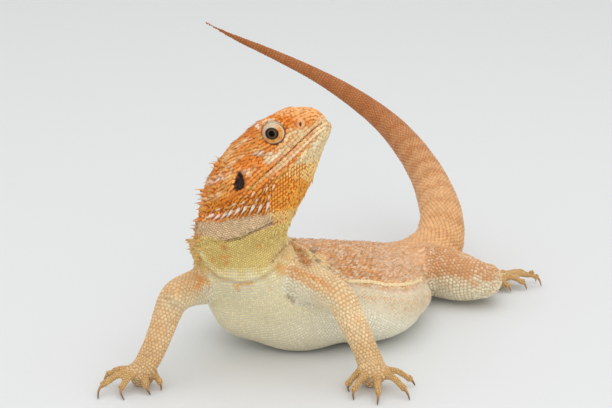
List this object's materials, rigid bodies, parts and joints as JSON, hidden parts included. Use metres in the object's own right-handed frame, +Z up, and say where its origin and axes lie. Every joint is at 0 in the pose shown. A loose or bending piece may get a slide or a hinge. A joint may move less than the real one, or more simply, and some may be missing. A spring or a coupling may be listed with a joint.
{
  "type": "bearded dragon model",
  "caption": "Still life-size model of a bearded dragon lying on its belly, propped on its hands with head up, tail raised and curled back, covered in small raised scales.",
  "frame": {"origin": "on the flat under the belly, at floor level", "axes": "+Z up; +X towards the animal's left, to the right in the picture; +Y from the snout side back towards the raised tail, along the longest side of the box"},
  "size_m": [0.1828, 0.2702, 0.1044],
  "materials": {
    "scaly_skin": "matte scaly skin, orange above and cream below",
    "claw_horn": "smooth brown horn",
    "eye": "wet dark eyeball"
  },
  "bodies": {
    "root": {"head": "scaly_skin", "lower_jaw": "scaly_skin", "neck": "scaly_skin", "trunk": "scaly_skin", "tail_1": "scaly_skin", "tail_2": "scaly_skin", "tail_3": "scaly_skin", "upper_arm_left": "scaly_skin", "forearm_left": "scaly_skin", "hand_left": "scaly_skin", "thigh_left": "scaly_skin", "shank_left": "scaly_skin", "foot_left": "scaly_skin", "upper_arm_right": "scaly_skin", "forearm_right": "scaly_skin", "hand_right": "scaly_skin", "thigh_right": "scaly_skin", "shank_right": "scaly_skin", "foot_right": "scaly_skin", "eye_left": "eye", "eye_right": "eye", "claw_hand_left_1": "claw_horn", "claw_hand_left_2": "claw_horn", "claw_hand_left_3": "claw_horn", "claw_hand_left_4": "claw_horn", "claw_hand_left_5": "claw_horn", "claw_hand_right_1": "claw_horn", "claw_hand_right_2": "claw_horn", "claw_hand_right_3": "claw_horn", "claw_hand_right_4": "claw_horn", "claw_hand_right_5": "claw_horn", "claw_foot_left_1": "claw_horn", "claw_foot_left_2": "claw_horn", "claw_foot_left_3": "claw_horn", "claw_foot_left_4": "claw_horn", "claw_foot_left_5": "claw_horn", "claw_foot_right_1": "claw_horn", "claw_foot_right_2": "claw_horn", "claw_foot_right_3": "claw_horn", "claw_foot_right_4": "claw_horn", "claw_foot_right_5": "claw_horn"}
  },
  "joints": []
}
